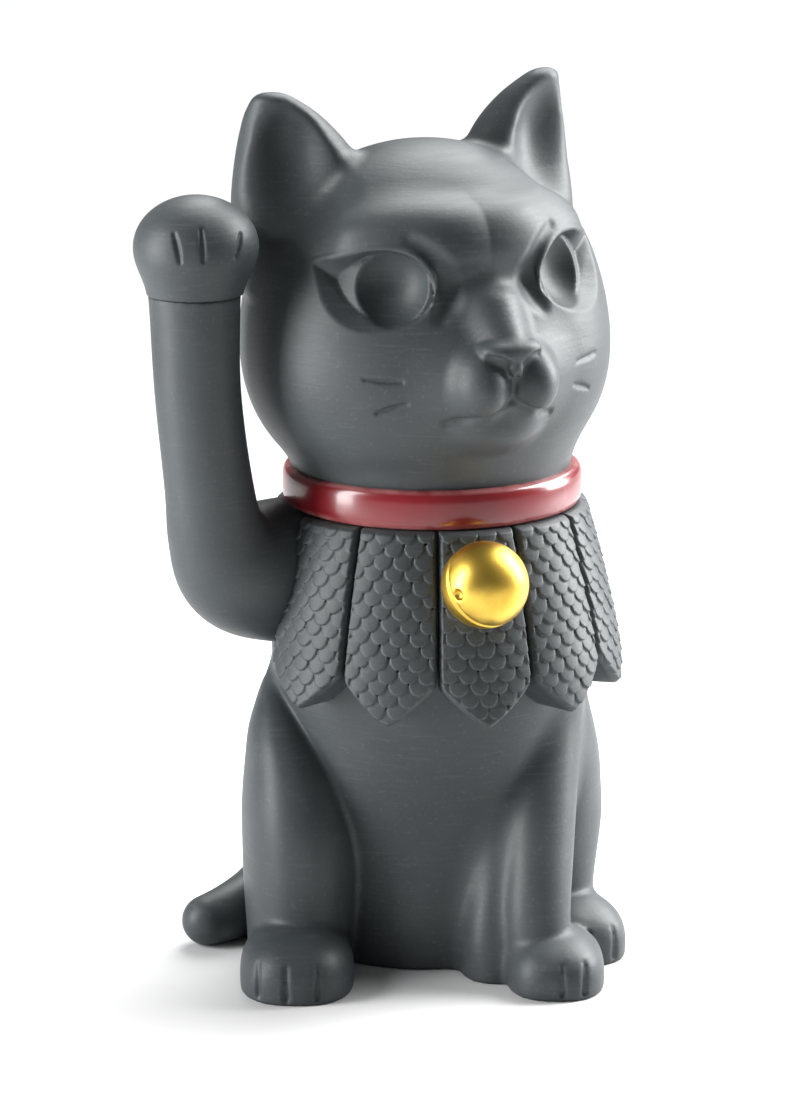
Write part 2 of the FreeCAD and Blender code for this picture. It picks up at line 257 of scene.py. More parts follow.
def body_field(p):
    """The torso, haunches, hind feet and left foreleg."""
    d = column(p, TORSO)
    d = smax(d, p[..., 2] - NECK_JOINT_Z, 0.3)
    q = turned(p, (0, 0, 0), "z", VIEW_TURN)
    haunch = column(q, RIGHT_HAUNCH, 2.2)
    haunch = smax(haunch, p[..., 2] - 76, 2)
    d = smin(d, haunch, 2.0 + 10.0 * np.clip((p[..., 1] + 5) / 25, 0, 1))
    haunch = ball(p, (30.5, 5, 45), (18.5, 33, 37))
    haunch = smin(haunch, cone(p, (31, -8, 34), (32, -13, 14), 13, 11.5), 8)
    d = smin(d, haunch, 5)
    d = smin(d, tube(p, smooth_path(FLANK, 24)), 7)
    d = smin(d, tube(p, smooth_path(FORELEG, 36)), 3.5)
    for foot in (RIGHT_FOOT, LEFT_FOOT, FOREPAW):
        d = smin(d, pillow(p, *foot), 2.2)
    for line in TOES:
        d = smax(d, -tube(p, line), 0.7)
    return smax(d, -p[..., 2], 0.8)


def tail_field(p):
    """The tail, lying on the floor round the right haunch."""
    return smax(tube(p, smooth_path(TAIL, 36)), -p[..., 2], 0.8)


def arm_field(p):
    """The raised arm up to the luted joint at its wrist."""
    return smax(tube(p, smooth_path(ARM, 60)), p[..., 2] - WRIST_Z, 0.05)


PAW_TOES = [
    [(-77.9, 208.6), (-77.4, 205), (-76.9, 201.3)],
    [(-71, 209.8), (-71.1, 206), (-71, 201.6)],
    [(-60, 207.8), (-60.8, 205), (-62, 202)],
]


def paw_plain(p):
    """The raised paw without its toe grooves."""
    d = ball(p, *PAW)
    d = smin(d, cone(p, (-69.7, -15.6, 180), (-69.7, -16, 200), 12, 13.6), 5)
    return smax(d, WRIST_Z - p[..., 2], 0.05)


def paw_field(p):
    """The raised paw."""
    d = paw_plain(p)
    for line in paw_lines:
        d = smax(d, -tube(p, line), 0.6)
    return d


# ---------------------------------------------------------------- head
EAR_TILT = 22.0                 # degrees that the ear's plate is turned outwards
EAR_AXIS = (37, 5.5, 40)
EAR = [
    (0, 20, 16, 31, 9),
    (20, 19.5, 15, 32.5, 9.5),
    (36, 18.5, 13.5, 33.5, 10),
    (46, 16.5, 11.8, 34.2, 9.5),
    (54, 12.8, 9.2, 36.2, 8.5),
    (60, 8.8, 6.2, 38.3, 6.5),
    (64, 4.8, 3.6, 40.0, 4.5),
    (66.5, 1.5, 1.2, 40.8, 4),
]
# The eye in a plane square to EYE_NORMAL, as distances across and up from the middle of the skull
EYE_NORMAL = np.array([0.597, -0.764, 0.243], np.float32)
EYE_ACROSS = np.array([0.788, 0.616, 0.0], np.float32)
EYE_UP = np.array([-0.150, 0.192, 0.970], np.float32)
EYE_RIM = [
    (19.6, 12.4), (18.9, 8.9), (17.4, 4.9), (15.6, 0.9), (12.6, -2.6), (8.8, -5.2), (4.0, -6.5),
    (-0.9, -6.3), (-6.1, -5.0), (-10.0, -2.9), (-12.8, 0.1), (-14.0, 3.6), (-13.6, 7.2),
    (-11.7, 10.7), (-8.6, 13.4), (-4.0, 15.0), (1.9, 15.1), (8.2, 13.9), (14.2, 12.9),
]
EYE_MIDDLE = (1.0, 5.0)
IRIS = (-2.6, 5.9)
IRIS_R = 11.6
IRIS_STANDS_OFF = 4.6
EYEBALL_R = 33.0
EYEBALL_DEPTH = 1.3
# Lines of the face by azimuth from its front, height and radius
BROW_CREASE = [(28, 29.8, 0.4), (25, 28.6, 0.8), (21.3, 26.4, 1.3), (18.0, 23.2, 1.8),
               (15.8, 19.6, 2.3), (15.2, 16, 2.5), (16.4, 12.6, 2.2), (18.3, 9.6, 1.0)]
SADDLE = [(-14, 17.5, 0.5), (-7, 18.8, 1.0), (0.01, 19.2, 1.2), (7, 18.8, 1.0), (14, 17.5, 0.5)]
WHISKERS = [[(30.7, -7.2, 0.5), (36, -7.0, 0.75), (42.5, -6.6, 0.5)],
            [(29.5, -13.2, 0.6), (34, -14.4, 0.9), (39.3, -15.9, 0.6)]]
# Lines of the muzzle by distance from its middle, height and radius
MOUTH = [(0.01, -12.5, 0.9), (3.6, -14.8, 1.0), (8.0, -16.6, 1.1), (12.0, -17.8, 1.1), (15.5, -19.0, 0.8)]
PHILTRUM = [(0.0, -4.5, 0.5), (0.0, -8, 0.8), (0.0, -12.5, 0.9)]
NOSTRIL = [(2.4, -2.2, 0.9), (4.8, -0.8, 1.4), (7.4, -0.2, 1.2)]


def in_head(p):
    """World points in the head's own frame, whose origin is the middle of the skull."""
    q = turned(p, SKULL_CENTRE, "z", HEAD_YAW)
    q = turned(q, SKULL_CENTRE, "y", -HEAD_ROLL)
    return q - np.array(SKULL_CENTRE, np.float32)


def skull_field(q):
    """The head's plain masses: cranium, jaw, brows, muzzle, nose and chin."""
    m = mirrored(q)
    d = ball(q, (0, 0, 2), CRANIUM_R)
    d = smin(d, ball(q, (0, -2, -14), (46.8, 44.5, 33.5)), 14)
    d = smin(d, ball(turned(m, (18, -32, 28.5), "z", 27), (18, -31.2, 28.5), (15, 5.8, 6.2)), 12)
    d = smin(d, ball(q, (0, -36.3, 27), (14, 6.6, 7)), 10)
    d = smin(d, ball(q, (0, -40, -8), (17.5, 17.5, 13.5)), 10)
    bridge = [((0, -36.5, 15.5), 8.4), ((0, -42, 11), 8.2), ((0, -48, 5.2), 7.4), ((0, -53.6, 1.0), 6.0)]
    d = smin(d, tube(q, smooth_path(bridge, 16)), 4)
    d = smin(d, ball(m, (7.2, -47.4, -8.2), (8.6, 13.8, 10.8)), 1.8)
    d = smin(d, ball(q, (0, -43.5, -20.5), (12.5, 10, 7.5)), 4)
    return smin(d, nose_leather(q), 1)


def nose_leather(q):
    """The nose's leather: a flat-topped tip that tapers down to the philtrum."""
    tip = pillow(q, (0, -54.8, 0.9), (8.8, 6.6, 3.4), power=2.4)
    return smin(tip, cone(q, (0, -57.2, 0.2), (0, -59.8, -5.5), 3.8, 1.2), 1)


def first_inside(field, path):
    """Where a straight path of points first enters a field."""
    v = field(path.astype(np.float32))
    i = int(np.argmax(v < 0))
    return path[i - 1] + (path[i] - path[i - 1]) * (v[i - 1] / (v[i - 1] - v[i]))


def round_skull(azimuth, z, out=0.0):
    """The point of the plain skull at an azimuth and a height, moved out by a distance."""
    way = np.array([math.sin(math.radians(azimuth)), -math.cos(math.radians(azimuth)), 0])
    start = way * 90 + np.array([0, 0, z])
    hit = first_inside(skull_field, start - np.outer(np.arange(0, 70, 0.25), way))
    return tuple(hit + way * out)


def before_skull(x, z, out=0.0):
    """The point of the plain skull straight behind a place in front of the face."""
    start = np.array([x, -80.0, z])
    hit = first_inside(skull_field, start + np.outer(np.arange(0, 70, 0.25), (0, 1, 0)))
    return tuple(hit - np.array([0, out, 0]))


def laid(line, place, out, count):
    """A line of the face laid on the plain skull."""
    return smooth_path([(place(a, z, out), r) for a, z, r in line], count)


crease_line = laid(BROW_CREASE, round_skull, 0.5, 26)
saddle_line = laid(SADDLE, round_skull, 0.9, 14)
whisker_lines = [laid(line, round_skull, 0.0, 6) for line in WHISKERS]
mouth_line = laid(MOUTH, before_skull, 0.2, 14)
philtrum_line = laid(PHILTRUM, before_skull, 0.1, 5)
nostril_line = laid(NOSTRIL, before_skull, 0.3, 8)
paw_lines = []
for toe in PAW_TOES:
    stations = []
    for (x, z), r in zip(toe, (0.45, 0.75, 0.5)):
        track = np.array([x, -60.0, z]) + np.outer(np.arange(0, 60, 0.25), (0, 1, 0))
        stations.append((tuple(first_inside(paw_plain, track)), r))
    paw_lines.append(smooth_path(stations, 10))


def ear_field(m):
    """One ear, before its cup is scooped out."""
    q = turned(m, EAR_AXIS, "z", EAR_TILT)
    d = column(q, EAR, 1.9) * 0.8
    return smax(smax(d, q[..., 2] - 65, 2), 12 - q[..., 2], 2)


def ear_cup(m):
    """The hollow in the front of an ear."""
    q = turned(turned(m, EAR_AXIS, "z", EAR_TILT), (36, -7, 50), "y", 9)
    return ball(q, (35.8, -8.0, 48.0), (12.2, 13.8, 16.5))


def before_eye(across, up, out=0.0):
    """The point of the plain skull in front of a place in the eye's plane."""
    start = across * EYE_ACROSS + up * EYE_UP + 80 * EYE_NORMAL
    hit = first_inside(skull_field, start - np.outer(np.arange(0, 80, 0.25), EYE_NORMAL))
    return tuple(hit + EYE_NORMAL * out)


def outline_distance(u, v, outline):
    """Signed distance to a closed outline in a plane, negative inside."""
    points = np.array(outline, np.float32)
    nearest = np.full(u.shape, 1e9, np.float32)
    inside = np.zeros(u.shape, bool)
    for (ax, ay), (bx, by) in zip(points, np.roll(points, -1, 0)):
        ex, ey = bx - ax, by - ay
        wx, wy = u - ax, v - ay
        t = np.clip((wx * ex + wy * ey) / (ex * ex + ey * ey), 0, 1)
        nearest = np.minimum(nearest, (wx - t * ex) ** 2 + (wy - t * ey) ** 2)
        crosses = (ay > v) != (by > v)
        if by != ay:
            inside ^= crosses & (u < ax + (v - ay) * ex / (by - ay))
    return np.where(inside, -1, 1) * np.sqrt(nearest)


def closed_curve(outline, count):
    """A closed outline made smooth."""
    ring = [((x, y, 0), 1) for x, y in outline[-2:] + outline + outline[:3]]
    curve = smooth_path(ring, (len(ring) - 1) * count + 1)
    return [(point[0], point[1]) for point, _ in curve[2 * count:-3 * count + count + 1]][:-count]


eye_outline = closed_curve(EYE_RIM, 3)
iris_point = np.array(before_eye(*IRIS), np.float32)
iris_middle = iris_point + EYE_NORMAL * (IRIS_STANDS_OFF - EYEBALL_DEPTH)
eyeball_middle = iris_point - EYE_NORMAL * (EYEBALL_R + EYEBALL_DEPTH)
lid_points = [(-14.2, 3.8, 0.3), (-14.2, 7.9, 0.6), (-12.2, 11.6, 0.8), (-8.9, 14.3, 0.9),
              (-4.2, 15.9, 0.9), (2.0, 15.8, 0.8), (8.4, 14.6, 0.6), (14.4, 13.6, 0.5), (19.0, 13.0, 0.3)]
lid_line = smooth_path([(before_eye(a, up, -0.75 * r), r) for a, up, r in lid_points], 34)


def eye_scoops(d, m):
    """Cuts the sloping socket of the eye round its eyeball, and the bowl of the iris."""
    if m[..., 1].min() > -10 or m[..., 2].min() > 36 or m[..., 2].max() < -4:
        return d
    across, up = m @ EYE_ACROSS, m @ EYE_UP
    rim = outline_distance(across, up, eye_outline)
    lean = np.clip(0.35 + 0.05 * (across - EYE_MIDDLE[0]) - 0.06 * (up - EYE_MIDDLE[1]), 0, 1)
    wall = np.maximum(rim + (0.12 + 1.5 * lean) * -d, -(m @ EYE_NORMAL) + 15)
    ball_ = EYEBALL_R - np.sqrt(((m - eyeball_middle) ** 2).sum(-1))
    bowl = np.sqrt(((m - iris_middle) ** 2).sum(-1)) - IRIS_R
    d = smax(d, -np.maximum(wall, ball_), 0.5)
    return smax(d, -np.maximum(bowl, np.maximum(rim, -(m @ EYE_NORMAL) + 15)), 0.4)


NECK = [
    (100, 33, 33, 0, NECK_Y),
    (NECK_JOINT_Z - 4, 37, 37, 0, NECK_Y),
    (NECK_JOINT_Z, 37.5, 37.5, 0, NECK_Y),
    (140, 38.5, 38, 0, NECK_Y),
    (160, 40, 38, 0, NECK_Y),
]


def head_field(p):
    """The head with its ears and all the lines of its face."""
    q = in_head(p)
    m = mirrored(q)
    d = skull_field(q)
    neck = smax(column(p, NECK), p[..., 2] - 158, 4)
    d = smin(d, neck, 5)
    d = smax(d, NECK_JOINT_Z - p[..., 2], 0.3)
    d = smin(d, ear_field(m), 4)
    d = smax(d, -ear_cup(m), 3 + 7 * np.clip((52 - q[..., 2]) / 14, 0, 1))
    d = smax(d, -tube(q, saddle_line), 6)
    d = smax(d, -tube(m, crease_line), 3)
    d = smin(d, tube(m, lid_line), 0.9)
    d = eye_scoops(d, m)
    d = smax(d, -tube(q, philtrum_line), 1)
    d = smax(d, -tube(m, mouth_line), 1.2)
    d = smax(d, -tube(m, nostril_line), 0.8)
    for line in whisker_lines:
        d = smax(d, -tube(m, line), 0.25)
    return d


# ---------------------------------------------------------------- bib
PANELS_ROUND = 12
PANEL_TURN = 1.5                # degrees by which the first panel is turned to the cat's left
PANEL_GROOVE = 0.7
PANEL_TIP_Z = 75.0              # at the front; the points rise a little towards the sides
PANEL_TIP_RISE = 4.5
ELBOW_PANEL = 8                 # the panel behind the raised arm is shorter
ELBOW_TIP_RISE = 11.0
PANEL_POINT = 11.8              # height of a panel's pointed end
PANEL_CROWN = 0.7
PANEL_DEPTH = 12.0
BIB_PROFILE = [(62, 52.6), (74, 51.9), (86, 51.0), (100, 48.3), (114, 44.9), (NECK_JOINT_Z, 41.2), (135, 39)]
SCALE_WIDE = 5.3
SCALE_HIGH = 3.3
SCALE_RISE = 1.4


def scale_relief(u, z, seed):
    """Height of the overlapping round scales over a panel."""
    best = np.full(u.shape, -1.0, np.float32)
    row = np.floor((NECK_JOINT_Z - z) / SCALE_HIGH)
    for step in (0, 1, 2):
        r = row - step
        shift = np.where(r % 2 == 0, 0.0, 0.5)
        column_at = np.round(u / SCALE_WIDE - shift)
        wobble = np.sin(r * 12.9898 + column_at * 78.233 + seed) * 43758.5453
        wobble = wobble - np.floor(wobble) - 0.5
        cx = (column_at + shift) * SCALE_WIDE + wobble * 0.7
        cz = NECK_JOINT_Z - (r + 1.0) * SCALE_HIGH + wobble * 0.5
        dx, dz = (u - cx) / (SCALE_WIDE * 0.54), (z - cz) / (SCALE_HIGH * 0.95)
        away = np.sqrt(dx * dx + np.where(dz < 0, dz, dz * 0.4) ** 2)
        edge = np.clip((1.0 - away) * 8.0, 0, 1)
        edge = edge * edge * (3 - 2 * edge)
        lift = np.clip(0.82 - 0.38 * dz - 0.12 * dx * dx, 0.1, 1.2)
        height = edge * lift - (1 - edge) * 2
        best = np.maximum(best, height)
    return np.maximum(best, 0.0) * SCALE_RISE


def panel_places(p, index):
    """A point's angle, sideways distance, radius and height in one panel's own frame."""
    q = turned(p, (0, NECK_Y, 0), "z", index * 360.0 / PANELS_ROUND + PANEL_TURN)
    x, y = q[..., 0], q[..., 1] - NECK_Y
    return np.arctan2(x, -y), x, np.hypot(x, y), q[..., 2]


def panel_marks(index):
    """How far each point of a panel stands up in its scale."""
    heights, radii = zip(*BIB_PROFILE)

    def marks(p):
        angle, _, _, z = panel_places(p, index)
        return {"relief": scale_relief(angle * between(z, heights, radii), z, index * 1.7) / SCALE_RISE}

    return marks


def panel_field(index):
    """The field of one pointed, scale-covered panel."""
    half = math.pi / PANELS_ROUND
    heights, radii = zip(*BIB_PROFILE)
    facing = math.radians(index * 360.0 / PANELS_ROUND + PANEL_TURN)
    tip = PANEL_TIP_Z + PANEL_TIP_RISE * min(1 - math.cos(facing), 1)
    if index == ELBOW_PANEL:
        tip += ELBOW_TIP_RISE
    reach = 51.0 * math.tan(half)

    def field(p):
        angle, x, radius, z = panel_places(p, index)
        outer = between(z, heights, radii)
        crown = PANEL_CROWN * (1 - np.minimum(np.abs(angle) / half, 1.2) ** 2)
        relief = scale_relief(angle * outer, z, index * 1.7)
        side = (np.abs(angle) - half) * radius + PANEL_GROOVE / 2
        end = tip + PANEL_POINT * (np.abs(x) / reach) ** 1.3
        foot = (end - z) * 0.75
        edge = smax(smax(side, foot, 1.5), z - NECK_JOINT_Z, 0.4)
        fade = np.clip(-edge / 0.9, 0.0, 1.0)
        d = (radius - outer - crown - relief * fade) * 0.93
        d = smax(d, outer - PANEL_DEPTH - radius, 1)
        d = smax(d, edge, 0.8)
        if index in (8, 10):
            d = smax(d, -arm_field(p), 0.4)
        return d.astype(np.float32)

    return field


# ---------------------------------------------------------------- meshes
BLOCK = 16


def run(jobs, work):
    """Does independent jobs on all cores, keeping their order."""
    with ThreadPoolExecutor(4) as pool:
        return list(pool.map(work, jobs))


def sampled(field, low, high, h):
    """A field's values on a grid, worked out only in blocks near its surface."""
    low = np.array(low, float)
    blocks = np.ceil((np.array(high, float) - low) / (h * BLOCK)).astype(int)
    size = h * BLOCK
    corners = np.meshgrid(*[low[i] + size * (np.arange(blocks[i]) + 0.5) for i in range(3)], indexing="ij")
    middles = np.stack(corners, -1).reshape(-1, 3).astype(np.float32)
    coarse = np.concatenate(run(np.array_split(middles, 16), field)).reshape(blocks)
    near = np.argwhere(np.abs(coarse) < size * 1.2 + 1)
    volume = np.ones(blocks * BLOCK + 1, np.float32)
    filled = np.where(coarse > 0, 1.0, -1.0).astype(np.float32)
    for axis in range(3):
        filled = np.repeat(filled, BLOCK, axis)
    volume[:-1, :-1, :-1] = filled
    base = np.arange(BLOCK + 1)

    def one(block):
        axes = [low[i] + h * (block[i] * BLOCK + base) for i in range(3)]
        points = np.stack(np.meshgrid(*axes, indexing="ij"), -1).reshape(-1, 3)
        return field(points.astype(np.float32)).reshape(BLOCK + 1, BLOCK + 1, BLOCK + 1)

    for block, values in zip(near, run(near, one)):
        a = block * BLOCK
        b = a + BLOCK + 1
        volume[a[0]:b[0], a[1]:b[1], a[2]:b[2]] = values
    return volume


def surface(volume, low, h):
    """Vertices and quads of a grid's zero surface, one vertex in each cell that it crosses."""
    inside = volume < 0
    shape = np.array(volume.shape) - 1
    count = np.zeros(shape, np.uint8)
    steps = [(a, b, c) for a in (0, 1) for b in (0, 1) for c in (0, 1)]
    for a, b, c in steps:
        count += inside[a:shape[0] + a, b:shape[1] + b, c:shape[2] + c]
    crossed = (count > 0) & (count < 8)
    cells = np.argwhere(crossed)
    number = -np.ones(shape, np.int32)
    number[crossed] = np.arange(len(cells))
    values = {s: volume[cells[:, 0] + s[0], cells[:, 1] + s[1], cells[:, 2] + s[2]] for s in steps}
    total, hits = np.zeros((len(cells), 3)), np.zeros(len(cells))
    for s in steps:
        for axis in range(3):
            if s[axis]:
                continue
            t = list(s)
            t[axis] = 1
            va, vb = values[s], values[tuple(t)]
            crosses = (va < 0) != (vb < 0)
            part = np.where(crosses, va / np.where(crosses, va - vb, 1), 0)
            for j in range(3):
                total[:, j] += np.where(crosses, s[j] + (part if j == axis else 0), 0)
            hits += crosses
    vertices = (total / hits[:, None] + cells) * h + np.array(low, float)
    quads = []
    for axis in range(3):
        first, second = [slice(None)] * 3, [slice(None)] * 3
        first[axis], second[axis] = slice(0, -1), slice(1, None)
        i0, i1 = inside[tuple(first)], inside[tuple(second)]
        u, w = (axis + 1) % 3, (axis + 2) % 3
        e = np.argwhere(i0 != i1)
        around = []
        for du, dw in ((1, 1), (0, 1), (0, 0), (1, 0)):
            q = e.copy()
            q[:, u] -= du
            q[:, w] -= dw
            around.append(number[q[:, 0], q[:, 1], q[:, 2]])
        quad = np.stack(around, 1)
        quads.append(np.where(i0[e[:, 0], e[:, 1], e[:, 2]][:, None], quad, quad[:, ::-1]))
    return vertices, np.concatenate(quads)


def settled(field, vertices, h, rounds=2):
    """Vertices moved onto a field's surface, in groups of near neighbours."""
    key = (vertices // 18).astype(int)
    order = np.lexsort((key[:, 2], key[:, 1], key[:, 0]))
    change = np.any(np.diff(key[order], axis=0) != 0, axis=1)
    groups = np.split(order, np.flatnonzero(change) + 1)
    e = 0.04

    def one(group):
        v = vertices[group].astype(np.float32)
        start = v.copy()
        for _ in range(rounds):
            f = field(v)
            g = np.stack([(field(v + np.eye(3, dtype=np.float32)[i] * e) - f) / e for i in range(3)], 1)
            size = np.maximum((g * g).sum(1), 0.05)
            v = v - np.clip(f / size, -h * 0.5, h * 0.5)[:, None] * g
            off = v - start
            length = np.maximum(np.linalg.norm(off, axis=1, keepdims=True), 1e-9)
            v = start + off * np.minimum(1, h * 0.9 / length)
        return v

    out = np.empty(vertices.shape, np.float32)
    for group, moved in zip(groups, run(groups, one)):
        out[group] = moved
    return out


def largest_part(vertices, quads):
    """The biggest connected part of a mesh, so that no crumb is left."""
    label = np.arange(len(vertices))
    while True:
        lowest = label[quads].min(1)
        new = label.copy()
        np.minimum.at(new, quads.ravel(), np.repeat(lowest, 4))
        new = new[new]
        if (new == label).all():
            break
        label = new
    names, counts = np.unique(label[quads[:, 0]], return_counts=True)
    keep = label[quads[:, 0]] == names[np.argmax(counts)]
    quads = quads[keep]
    used, renumbered = np.unique(quads, return_inverse=True)
    return vertices[used], renumbered.reshape(-1, 4)


def make_object(name, vertices, faces, material, floats=None):
    """A smooth-shaded object from millimetre vertices."""
    mesh = bpy.data.meshes.new(name)
    mesh.from_pydata((vertices * MM).tolist(), [], faces.tolist() if hasattr(faces, "tolist") else faces)
    mesh.polygons.foreach_set("use_smooth", [True] * len(mesh.polygons))
    for label, values in (floats or {}).items():
        mesh.attributes.new(label, "FLOAT", "POINT").data.foreach_set("value", np.asarray(values, np.float32))
    mesh.materials.append(material)
    obj = bpy.data.objects.new(name, mesh)
    bpy.context.scene.collection.objects.link(obj)
    return obj


def sculpted(name, field, low, high, h, material, floats=None):
    """An object made from a field."""
    vertices, quads = surface(sampled(field, low, high, h), low, h)
    vertices, quads = largest_part(vertices, quads)
    vertices = settled(field, vertices, h)
    extra = floats(vertices) if floats else None
    return make_object(name, vertices, quads, material, extra)


# ---------------------------------------------------------------- materials
STAIN_DARK = (0.031, 0.037, 0.040)
STAIN_PALE = (0.052, 0.060, 0.063)
DUST = (0.15, 0.162, 0.166)
# painted shade: the dark colour laid into the low hollows between and below the bib's scales
PAINTED_SCALE_SHADE = (0.012, 0.013, 0.014)


def new_material(name, colour, roughness):
    """A node material with its shader's own sockets set."""
    material = bpy.data.materials.new(name)
    material.use_nodes = True
    nodes, links = material.node_tree.nodes, material.node_tree.links
    shader = nodes["Principled BSDF"]
    shader.inputs["Base Color"].default_value = (*colour, 1)
    shader.inputs["Roughness"].default_value = roughness
    return material, nodes, links, shader


def noise(nodes, links, where, scale, detail, stretch=None):
    """Noise over the piece, drawn out along some axes if asked."""
    texture = nodes.new("ShaderNodeTexNoise")
    texture.inputs["Scale"].default_value = scale
    texture.inputs["Detail"].default_value = detail
    if stretch:
        mapping = nodes.new("ShaderNodeMapping")
        mapping.inputs["Scale"].default_value = stretch
        links.new(where, mapping.inputs["Vector"])
        where = mapping.outputs["Vector"]
    links.new(where, texture.inputs["Vector"])
    return texture.outputs["Fac"]


def ramp(nodes, links, value, low, high, start=0.0, end=1.0):
    """A value's range from low to high, taken to a range from start to end."""
    node = nodes.new("ShaderNodeMapRange")
    for label, number in (("From Min", low), ("From Max", high), ("To Min", start), ("To Max", end)):
        node.inputs[label].default_value = number
    links.new(value, node.inputs["Value"])
    return node.outputs["Result"]


def blend(nodes, links, factor, first, second):
    """Two colours mixed by a factor; the first may come from another node."""
    node = nodes.new("ShaderNodeMix")
    node.data_type = "RGBA"
    links.new(factor, node.inputs["Factor"])
    if isinstance(first, tuple):
        node.inputs["A"].default_value = (*first, 1)
    else:
        links.new(first, node.inputs["A"])
    node.inputs["B"].default_value = (*second, 1)
    return node.outputs["Result"]


def bumped(nodes, links, height, strength, distance, below=None):
    """A surface bumped by a height, over an earlier bump if there is one."""
    node = nodes.new("ShaderNodeBump")
    node.inputs["Strength"].default_value = strength
    node.inputs["Distance"].default_value = distance
    links.new(height, node.inputs["Height"])
    if below is not None:
        links.new(below, node.inputs["Normal"])
    return node.outputs["Normal"]


def biscuit_material(name, scaled=False):
    """Dark blue-grey porcelain with fine speckle and brush marks, and, if scaled, painted shade in the
    hollows between scales.
    """
    material, nodes, links, shader = new_material(name, STAIN_DARK, 0.5)
    shader.inputs["Specular IOR Level"].default_value = 0.32
    where = nodes.new("ShaderNodeTexCoord").outputs["Object"]
    grain = noise(nodes, links, where, 900, 3)
    cloud = noise(nodes, links, where, 24, 4)
    brush = noise(nodes, links, where, 100, 2, (1.0, 1.0, 13.0))
    colour = blend(nodes, links, ramp(nodes, links, cloud, 0.3, 0.7), STAIN_DARK, STAIN_PALE)
    colour = blend(nodes, links, ramp(nodes, links, grain, 0.6, 0.85, 0, 0.3), colour, DUST)
    colour = blend(nodes, links, ramp(nodes, links, brush, 0.58, 0.85, 0, 0.2), colour, DUST)
    normal = bumped(nodes, links, grain, 0.22, 0.0002)
    normal = bumped(nodes, links, brush, 0.16, 0.0003, normal)
    if scaled:
        # Painted shade: the colour darkens where the scale relief is low, in the hollows between and below
        # the scales
        relief = nodes.new("ShaderNodeAttribute")
        relief.attribute_name = "relief"
        colour = blend(nodes, links, ramp(nodes, links, relief.outputs["Fac"], 0.35, 0.0), colour, PAINTED_SCALE_SHADE)
    links.new(colour, shader.inputs["Base Color"])
    links.new(ramp(nodes, links, brush, 0.3, 0.7, 0.46, 0.52), shader.inputs["Roughness"])
    links.new(normal, shader.inputs["Normal"])
    return material


def glaze_material():
    """Glossy dark red glaze, worn pale along the edges of the band."""
    material, nodes, links, shader = new_material("red_glaze", (0.17, 0.010, 0.014), 0.25)
    where = nodes.new("ShaderNodeTexCoord").outputs["Object"]
    split = nodes.new("ShaderNodeSeparateXYZ")
    links.new(where, split.inputs["Vector"])
    low, high = NECK_JOINT_Z * MM, COLLAR_TOP_Z * MM
    foot = ramp(nodes, links, split.outputs["Z"], low + 0.0022, low + 0.0008)
    top = ramp(nodes, links, split.outputs["Z"], high - 0.0011, high - 0.0004)
    edge = nodes.new("ShaderNodeMath")
    edge.operation = "MAXIMUM"
    links.new(foot, edge.inputs[0])
    links.new(top, edge.inputs[1])
    patchy = nodes.new("ShaderNodeMath")
    patchy.operation = "MULTIPLY"
    links.new(edge.outputs["Value"], patchy.inputs[0])
    links.new(ramp(nodes, links, noise(nodes, links, where, 150, 3), 0.35, 0.6, 0.25, 0.9), patchy.inputs[1])
    pooled = noise(nodes, links, where, 60, 3)
    colour = blend(nodes, links, pooled, (0.20, 0.011, 0.016), (0.13, 0.007, 0.010))
    colour = blend(nodes, links, patchy.outputs["Value"], colour, (0.36, 0.13, 0.13))
    links.new(colour, shader.inputs["Base Color"])
    links.new(bumped(nodes, links, pooled, 0.12, 0.0006), shader.inputs["Normal"])
    shader.inputs["Coat Weight"].default_value = 0.35
    shader.inputs["Coat Roughness"].default_value = 0.1
    return material


def gold_material():
    """Satin gold lustre over glaze, a little darker where it pooled."""
    material, nodes, links, shader = new_material("gold_lustre", (0.66, 0.44, 0.13), 0.38)
    where = nodes.new("ShaderNodeTexCoord").outputs["Object"]
    pooled = noise(nodes, links, where, 120, 4)
    grain = noise(nodes, links, where, 1300, 2)
    thick = ramp(nodes, links, pooled, 0.35, 0.7)
    colour = blend(nodes, links, thick, (0.74, 0.50, 0.09), (0.55, 0.35, 0.05))
    links.new(colour, shader.inputs["Base Color"])
    links.new(ramp(nodes, links, pooled, 0.3, 0.7, 0.33, 0.45), shader.inputs["Roughness"])
    links.new(bumped(nodes, links, grain, 0.15, 0.0002), shader.inputs["Normal"])
    shader.inputs["Metallic"].default_value = 1.0
    return material


biscuit = biscuit_material("biscuit_porcelain")
scaly = biscuit_material("scaled_porcelain", scaled=True)
glaze = glaze_material()
gold = gold_material()


# ---------------------------------------------------------------- pieces
def shown(obj, node):
    """Puts a piece in the place of its CAD node."""
    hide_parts(node)
    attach(obj, "root")
    return obj


def collar_piece():
    """The glazed band, turned from a rounded section."""
    segments, half = 256, (COLLAR_TOP_Z - NECK_JOINT_Z) / 2
    section = []
    for i in range(40):
        t = 2 * math.pi * i / 40
        c, s = math.cos(t), math.sin(t)
        outward = math.copysign(abs(c) ** 0.55, c)
        upward = math.copysign(abs(s) ** 0.6, s)
        section.append((COLLAR_R - 3.4 + 3.6 * outward, NECK_JOINT_Z + half + half * upward))
    vertices = []
    for k in range(segments):
        a = 2 * math.pi * k / segments
        vertices += [(r * math.sin(a), NECK_Y - r * math.cos(a), z) for r, z in section]
    n = len(section)
    faces = []
    for k in range(segments):
        for i in range(n):
            j, m = (i + 1) % n, (k + 1) % segments
            faces.append((k * n + i, m * n + i, m * n + j, k * n + j))
    return make_object("collar_band", np.array(vertices), faces, glaze)


HOLE_WAY = np.array([-0.811, -0.583, -0.052])
SLOT_NORMAL = np.array([0.321, -0.813, 0.482])


